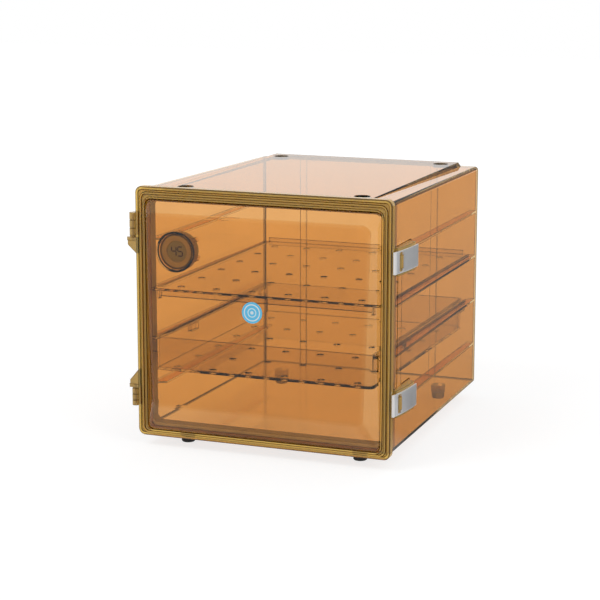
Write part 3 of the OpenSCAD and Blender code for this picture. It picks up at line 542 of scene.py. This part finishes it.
def make_materials():
    clear = clear_plastic("clear_plastic", CLEAR_WALL, SHELF_EDGE_REACH)
    housing = clear_plastic(
        "housing_plastic", AMBER_WALL, recolour=housing_colour_and_shade, redraw_edges=housing_edge_shade
    )
    door = door_plastic()
    hinge = clear_plastic("hinge_plastic", HINGE_WALL, SMALL_EDGE_REACH, HINGE_CLEARNESS)
    latch = clear_plastic("latch_plastic", LATCH_WALL, SMALL_EDGE_REACH, LATCH_CLEARNESS)
    holder = clear_plastic("holder_plastic", HOLDER_WALL, SMALL_EDGE_REACH)
    gasket = rubber("gasket_rubber", *GASKET_TONES)
    black = rubber("foot_rubber", *FOOT_TONES)
    steel = metal("pin_steel", *PIN_TONES, 0.15, 0.25)
    lever = lever_metal("lever_steel")
    gauge = opaque_plastic("gauge_plastic", *GAUGE_TONES, 0.3, 0.4)
    display = opaque_plastic("display_face", *DISPLAY_TONES, 0.1, 0.15)
    label = ringed_film("label_film", "label_disc", LABEL_RINGS)
    dress(holder, "hygrometer_holder")
    dress(housing, "housing")
    dress(door, "door")
    dress(hinge, "hinge_block_upper", "hinge_block_lower", "hinge_arm_upper", "hinge_arm_lower")
    dress(latch, "latch_base_upper", "latch_base_lower", "latch_keeper_upper", "latch_keeper_lower")
    dress(clear, "shelf", "tray")
    dress(gasket, "mouth_gasket")
    dress(black, *FEET)
    dress(steel, "hinge_pin_upper", "hinge_pin_lower", "latch_pin_upper", "latch_pin_lower")
    dress(lever, "latch_lever_upper", "latch_lever_lower")
    dress(gauge, "hygrometer_case", "hygrometer_bezel", "hygrometer_battery_cover")
    dress(display, "hygrometer_display")
    dress(label, "label_disc")


def add_stroke(mesh, start, end, y):
    """Bar with pointed ends from start to end, whose front lies in the plane y."""
    along = (Vector(end) - Vector(start)).normalized()
    across = Vector((-along[1], along[0])) * FIGURE_STROKE / 2
    first = Vector(start) + along * FIGURE_STROKE * STROKE_SHORT
    last = Vector(end) - along * FIGURE_STROKE * STROKE_SHORT
    tip = along * FIGURE_STROKE / 2
    outline = (
        first - tip, first + across, last + across, last + tip, last - across, first - across
    )
    front = [mesh.verts.new((p[0], y, p[1])) for p in outline]
    back = [mesh.verts.new((p[0], y + FIGURE_T, p[1])) for p in outline]
    mesh.faces.new(front)
    mesh.faces.new(back[::-1])
    for i in range(len(outline)):
        j = (i + 1) % len(outline)
        mesh.faces.new((front[i], back[i], back[j], front[j]))


def add_figures():
    """Plain figures on the hygrometer's display."""
    low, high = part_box("hygrometer_display")
    middle = ((low[0] + high[0]) / 2, (low[2] + high[2]) / 2)
    total = len(FIGURES) * FIGURE_W + (len(FIGURES) - 1) * FIGURE_GAP
    mesh = bmesh.new()
    for place, figure in enumerate(FIGURES):
        left = middle[0] - total / 2 + place * (FIGURE_W + FIGURE_GAP)
        for stroke in FIGURE_STROKES[figure]:
            ends = [
                (left + x * FIGURE_W, middle[1] + (z - 0.5) * FIGURE_H)
                for x, z in STROKES[stroke]
            ]
            add_stroke(mesh, *ends, low[1] - FIGURE_T)
    bmesh.ops.recalc_face_normals(mesh, faces=mesh.faces)
    data = bpy.data.meshes.new("display_figures")
    mesh.to_mesh(data)
    mesh.free()
    piece = bpy.data.objects.new("display_figures", data)
    scene.collection.objects.link(piece)
    ink = opaque_plastic("figure_ink", *INK_TONES, 0.5, 0.6)
    shader(ink).inputs["Specular IOR Level"].default_value = 0.0
    data.materials.append(ink)
    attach(piece, "door")


def add_camera():
    data = bpy.data.cameras.new("camera")
    data.lens = CAMERA_LENS
    data.sensor_width = CAMERA_SENSOR
    data.clip_end = CAMERA_REACH
    camera = bpy.data.objects.new("camera", data)
    scene.collection.objects.link(camera)
    turn = Matrix.Rotation(CAMERA_HEADING, 4, "Z")
    tip = Matrix.Rotation(math.pi / 2 - CAMERA_DOWN, 4, "X")
    roll = Matrix.Rotation(CAMERA_ROLL, 4, "Z")
    camera.matrix_world = Matrix.Translation(CAMERA_PLACE) @ turn @ tip @ roll
    scene.camera = camera


def seen_rays(material, gloss_share):
    """1 on camera and transmission rays, gloss_share on glossy rays, else 0."""
    path = add_node(material, "ShaderNodeLightPath")
    total = math_node(material, "MULTIPLY", path.outputs["Is Glossy Ray"], gloss_share)
    for name in ("Is Camera Ray", "Is Transmission Ray"):
        total = math_node(material, "MAXIMUM", total, path.outputs[name])
    return total


def add_sky():
    world = bpy.data.worlds.new("sky")
    scene.world = world
    world.use_nodes = True
    background = world.node_tree.nodes["Background"]
    background.inputs["Color"].default_value = (1, 1, 1, 1)
    level = map_range(world, seen_rays(world, 1.0), 0.0, 1.0, SKY_ON_DIFFUSE, 1.0)
    link(world, level, background.inputs["Strength"])


def floor_gloss(material):
    """Share of the floor's glow in reflections: bright in front and beside, dark behind."""
    place = split(material, object_place(material))
    sideways = math_node(material, "ABSOLUTE", place["X"])
    beside = math_node(material, "MULTIPLY", sideways, FLOOR_GLOSS_SPREAD)
    near = math_node(material, "SUBTRACT", beside, place["Y"])
    return map_range(material, near, *FLOOR_GLOSS_FADE, FLOOR_GLOSS_FAR, FLOOR_GLOSS_NEAR)


def floor_material():
    """White floor that keeps the object's shadow."""
    material = new_material("floor_white")
    surface = shader(material)
    surface.inputs["Base Color"].default_value = (FLOOR_SHADE, FLOOR_SHADE, FLOOR_SHADE, 1)
    surface.inputs["Roughness"].default_value = 1.0
    surface.inputs["Specular IOR Level"].default_value = 0.0
    glow = add_node(material, "ShaderNodeEmission")
    seen = seen_rays(material, floor_gloss(material))
    away = add_node(material, "ShaderNodeVectorMath", operation="LENGTH")
    link(material, object_place(material), away.inputs[0])
    distance = away.outputs["Value"]
    lift = map_range(material, distance, *FLOOR_FADE, FLOOR_LIFT, FLOOR_FAR_LIFT)
    link(material, math_node(material, "MULTIPLY", seen, lift), glow.inputs["Strength"])
    both = add_node(material, "ShaderNodeAddShader")
    link(material, surface.outputs["BSDF"], both.inputs[0])
    link(material, glow.outputs["Emission"], both.inputs[1])
    output = material.node_tree.nodes["Material Output"]
    link(material, both.outputs["Shader"], output.inputs["Surface"])
    return material


def add_floor():
    mesh = bpy.data.meshes.new("floor")
    signs = ((-1, -1), (1, -1), (1, 1), (-1, 1))
    corners = [(x * FLOOR_REACH, y * FLOOR_REACH, 0) for x, y in signs]
    mesh.from_pydata(corners, [], [(0, 1, 2, 3)])
    mesh.materials.append(floor_material())
    floor = bpy.data.objects.new("floor", mesh)
    scene.collection.objects.link(floor)


def add_lamp(name, place, power):
    """Soft round lamp that no surface mirrors."""
    data = bpy.data.lights.new(name, "AREA")
    data.shape = "DISK"
    data.size = LAMP_SIZE
    data.energy = power
    lamp = bpy.data.objects.new(name, data)
    lamp.location = place
    look = Vector(LAMP_TARGET) - Vector(place)
    lamp.rotation_euler = look.to_track_quat("-Z", "Y").to_euler()
    lamp.visible_glossy = False
    lamp.visible_transmission = False
    scene.collection.objects.link(lamp)


scene.view_settings.view_transform = "Standard"
scene.cycles.max_bounces = 32
scene.cycles.transmission_bounces = 32
scene.cycles.glossy_bounces = 12
add_camera()
add_sky()
add_floor()
for lamp_name, (lamp_place, lamp_power) in LAMPS.items():
    add_lamp(lamp_name, lamp_place, lamp_power)
make_materials()
add_figures()
